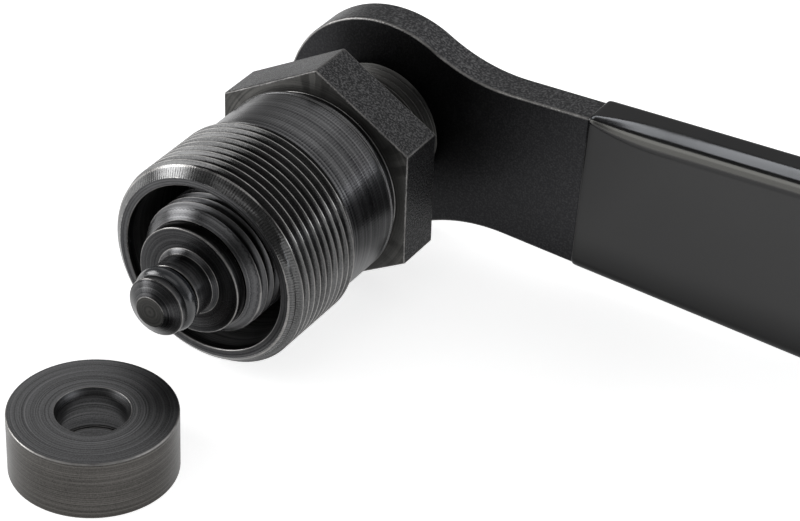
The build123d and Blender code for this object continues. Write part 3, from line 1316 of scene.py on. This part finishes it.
# %% The floor's paper
PALE = (0.86, 0.86, 0.86)
# Far behind the tool the floor's colour turns grey: painted shade, where the lamps' light falls
# off.
FAR_PAINTED_SHADE = (0.35, 0.35, 0.35)
CAMERA_GLOW = 0.75
# Glow seen only in reflections is painted light. It is dimmer beside the steel and under the grip's
# lower edge as painted shade where the tool's shadow lies, and it fades out behind the tool.
TOOL_GLOW = 0.45
GRIP_GLOW = 0.76
UNDER_GRIP_SHADED_GLOW = 0.15
LEFT_GLOW = 0.5
# Where each change of the floor starts and ends, in metres along X or Y
FAR_BACK = (0.1, 0.3)
BEHIND_TOOL = (0.0, 0.2)
BEFORE_GRIP = (-0.012, -0.003)
UNDER_GRIP_SHADE = (0.021, 0.027)
ALONG_LEVER = (0.005, 0.02)
AT_LEFT = (-0.03, -0.07)
floor_paper, tree, shader = new_finish("floor paper")
shader["Roughness"].default_value = 0.9
shader["Specular IOR Level"].default_value = 0.1
shader["Emission Color"].default_value = (1, 1, 1, 1)
path = add(tree, "ShaderNodeLightPath").outputs
mirrored = calc(tree, "MAXIMUM", path["Is Glossy Ray"], path["Is Transmission Ray"])
spot = split(tree, coordinates(tree))
# The grey far behind the tool is painted shade.
far = spread(tree, spot["Y"], *FAR_BACK)
# Reflection glow: painted light, dimmed as painted shade near the steel, under the grip's edge and
# behind.
near_tool = spread(tree, spot["Y"], *BEHIND_TOOL, TOOL_GLOW, 0.0)
before_grip = spread(tree, spot["Y"], *BEFORE_GRIP, TOOL_GLOW, GRIP_GLOW)
glow_with_grip_shade = spread(tree, spot["Y"], *UNDER_GRIP_SHADE, before_grip, UNDER_GRIP_SHADED_GLOW)
along_lever = spread(tree, spot["X"], *ALONG_LEVER, near_tool, glow_with_grip_shade)
at_left = spread(tree, spot["X"], *AT_LEFT, 0.0, LEFT_GLOW)
mirror_glow = calc(tree, "ADD", along_lever, at_left)
glow = blend(tree, (path["Is Camera Ray"], CAMERA_GLOW), (mirrored, mirror_glow))
tree.links.new(tint(tree, far, PALE, FAR_PAINTED_SHADE), shader["Base Color"])
tree.links.new(glow, shader["Emission Strength"])
floor_mesh.materials.append(floor_paper)
print("finish:", floor_paper.name)

# %% [markdown]
# Light.
# Black steel and black vinyl show little but what they reflect, so each lamp is placed by its
# reflection. A box at the left and a low card at the right light everything. A top box, a front
# fill and a left front card draw the bands on the turned steel. Three strips draw the long
# highlights along the grip's edge. One set of lamps would put the strips on the thread too. A
# photographer keeps them off with black flags, and light linking does the same here.


# %% Helpers for lamps
def soft_box(name, place, aim, width, height, power, colour=(1, 1, 1)):
    """A rectangular area lamp at a place, facing a point, both in metres."""
    lamp = bpy.data.lights.new(name, "AREA")
    lamp.shape = "RECTANGLE"
    lamp.size = width
    lamp.size_y = height
    lamp.energy = power
    lamp.color = colour
    holder = bpy.data.objects.new(name, lamp)
    holder.location = place
    holder.rotation_euler = (Vector(aim) - Vector(place)).to_track_quat("-Z", "Y").to_euler()
    bpy.context.scene.collection.objects.link(holder)
    return holder


def only_on(lamps, *pieces):
    """Keep lamps off everything but the given pieces."""
    lit = bpy.data.collections.new("lit by " + lamps[0].name)
    for piece in pieces:
        lit.objects.link(piece)
    for lamp in lamps:
        lamp.light_linking.receiver_collection = lit
    print(lit.name + ":", ", ".join(piece.name for piece in pieces))


# %% Lamps
COOL = (0.92, 0.95, 1.0)
WARM = (1.0, 0.99, 0.93)
TOOL = (0, 0, 0)
soft_box("left box", (-0.5, -0.2, 0.24), TOOL, 0.32, 0.28, 1.5)
soft_box("right card", (0.56, 0.2, 0.08), (0.02, 0.02, 0), 0.7, 0.2, 0.62, COOL)
steel_boxes = [
    soft_box("top box", (-0.22, 0.52, 0.54), TOOL, 0.8, 0.4, 0.5),
    soft_box("front fill", (0.0, -0.42, 0.5), TOOL, 0.5, 0.3, 0.33),
    soft_box("left front card", (-0.34, -0.33, 0.1), TOOL, 0.34, 0.2, 0.46),
]
only_on(steel_boxes, floor, puller_body, spindle, swivel_tip, nose_seal, adapter, lever_bar)
grip_strips = [
    soft_box("overhead strip", (-0.18, 0.11, 0.52), (-0.18, 0.11, 0), 0.085, 0.62, 0.9, COOL),
    soft_box("upper front strip", (-0.23, -0.5, 0.4), (-0.23, 0, 0.4), 0.26, 0.25, 0.9, WARM),
    soft_box("lower front strip", (-0.23, -0.5, 0.14), (-0.23, 0, 0.14), 0.26, 0.27, 0.6, WARM),
]
only_on(grip_strips, lever_grip)

# %% [markdown]
# The room.
# Beyond the lamps the steel mirrors the room itself. A photograph of a room could surround the
# scene. A soft change of grey is enough: dim behind the camera, brighter behind the tool, and
# brightest at the back on the right.

# %% The room
DIM = 0.13
BACK_LEFT = 0.33
BACK_RIGHT = 0.85
LEFT_TO_RIGHT = (-0.3, 0.4)
FRONT_TO_BACK = (-0.4, 0.6)
room = bpy.data.worlds.new("room")
bpy.context.scene.world = room
room.use_nodes = True
tree = room.node_tree
backdrop = next(node for node in tree.nodes if node.type == "BACKGROUND")
way = split(tree, coordinates(tree, "Generated"))
back_level = spread(tree, way["X"], *LEFT_TO_RIGHT, BACK_LEFT, BACK_RIGHT)
level = spread(tree, way["Y"], *FRONT_TO_BACK, DIM, back_level)
tree.links.new(level, backdrop.inputs["Color"])
backdrop.inputs["Strength"].default_value = 1.0
print(f"room: from {DIM} in front to {BACK_RIGHT} at the back")

# %% [markdown]
# The camera.
# The view is the photograph's: a long lens from the front right and above. A camera can be moved
# by hand until the picture fits. Here its place, direction and slight roll were found by matching
# the circles of the rim, the hexagon and the lever's eye, whose sizes are known.

# %% Camera
SENSOR_WIDTH = 36.0
PICTURE_WIDTH = 800
FOCAL_PIXELS = 2986.6
camera_place = Vector((136.82, -196.19, 164.75)) * MM
looking = Vector((-0.4179, 0.7114, -0.5651))
roll = radians(2.39)
lens = bpy.data.cameras.new("camera")
lens.sensor_width = SENSOR_WIDTH
lens.sensor_fit = "HORIZONTAL"
lens.lens = SENSOR_WIDTH * FOCAL_PIXELS / PICTURE_WIDTH
lens.clip_start = 0.01
camera = bpy.data.objects.new("camera", lens)
camera.location = camera_place
level_view = looking.to_track_quat("-Z", "Y")
camera.rotation_mode = "QUATERNION"
camera.rotation_quaternion = level_view @ Quaternion((0, 0, 1), roll)
bpy.context.scene.collection.objects.link(camera)
bpy.context.scene.camera = camera
bpy.context.scene.view_settings.view_transform = "Standard"
print(f"camera: {lens.lens:.2f} mm lens")
